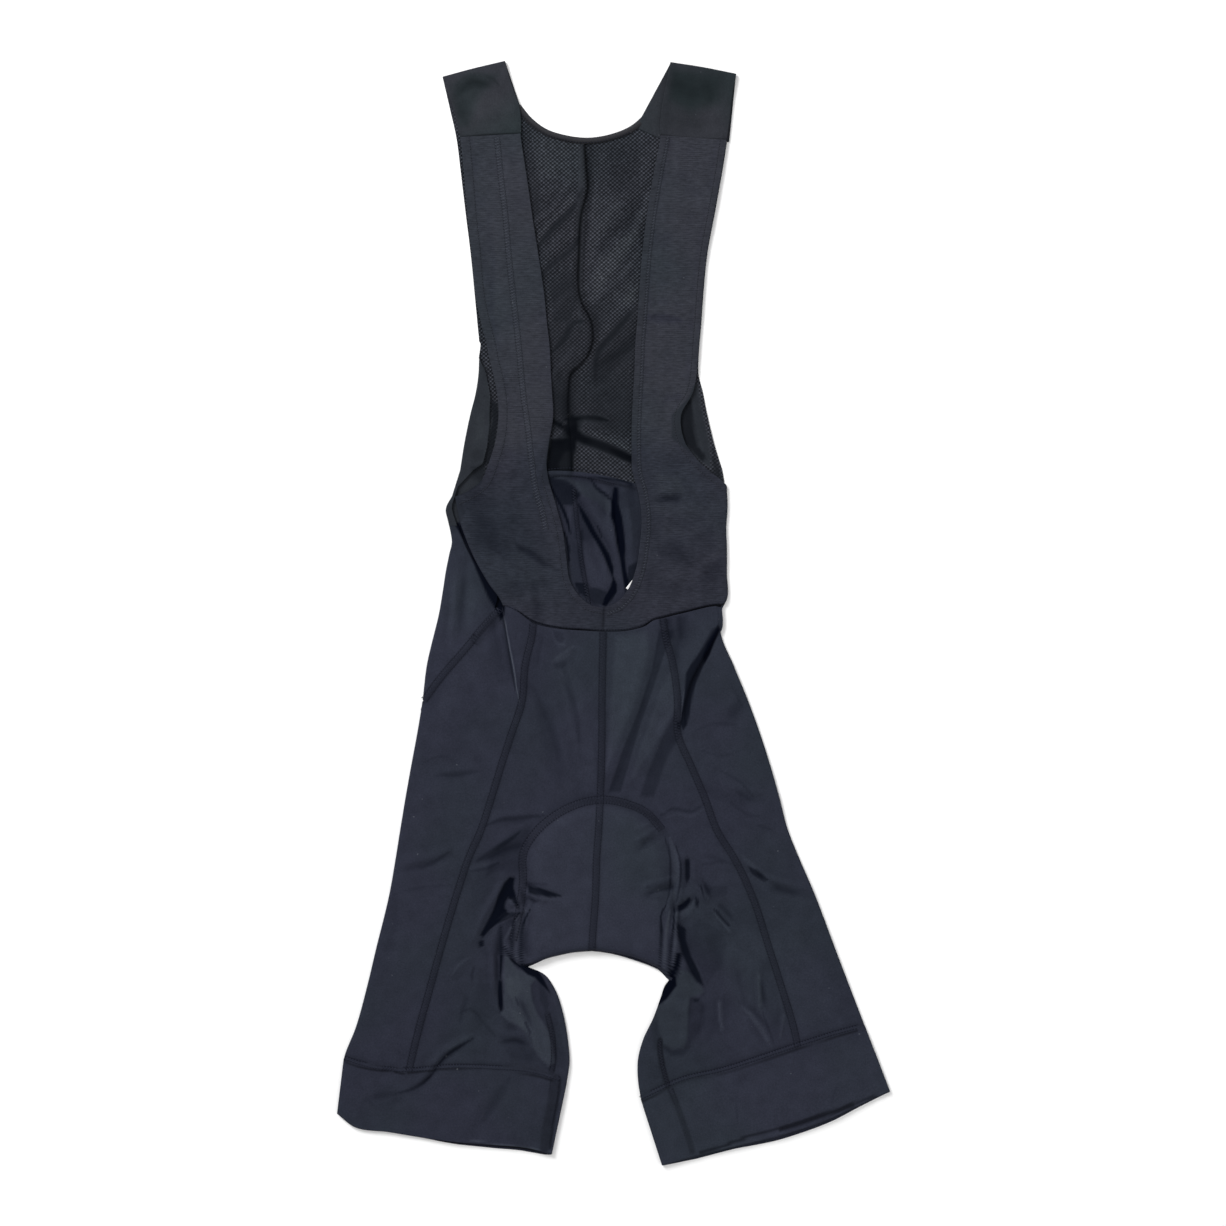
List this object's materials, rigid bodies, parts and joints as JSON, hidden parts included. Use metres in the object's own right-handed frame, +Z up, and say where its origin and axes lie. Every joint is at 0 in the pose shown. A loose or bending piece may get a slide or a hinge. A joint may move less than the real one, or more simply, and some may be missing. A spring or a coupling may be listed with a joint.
{
  "type": "cycling bib shorts",
  "caption": "Cycling bib shorts laid flat, front up: ribbed braces into a bib, mesh upper back, panelled lycra legs with cuffs and a seat pad.",
  "frame": {"origin": "bottom centre of the bounding box, on the surface the garment lies on", "axes": "+Y towards the shoulders, +X to the right seen from above, +Z up off the surface"},
  "size_m": [0.4969, 0.9938, 0.0087],
  "materials": {
    "lycra": "knitted nylon and elastane, slight sheen",
    "rib": "finely ribbed elastic knit, dull",
    "mesh": "honeycomb mesh knit",
    "foam": "brushed fabric over foam",
    "satin": "white satin tape"
  },
  "bodies": {
    "root": {"yoke_left": "rib", "yoke_right": "rib", "bib_left": "rib", "bib_right": "rib", "back_mesh_left": "mesh", "back_mesh_right": "mesh", "neck_binding": "rib", "seat_left": "lycra", "seat_right": "lycra", "side_left": "lycra", "side_right": "lycra", "front_left": "lycra", "front_right": "lycra", "inner_leg_left": "lycra", "inner_leg_right": "lycra", "cuff_left": "lycra", "cuff_right": "lycra", "seat_pad": "foam", "care_label": "satin"}
  },
  "joints": []
}
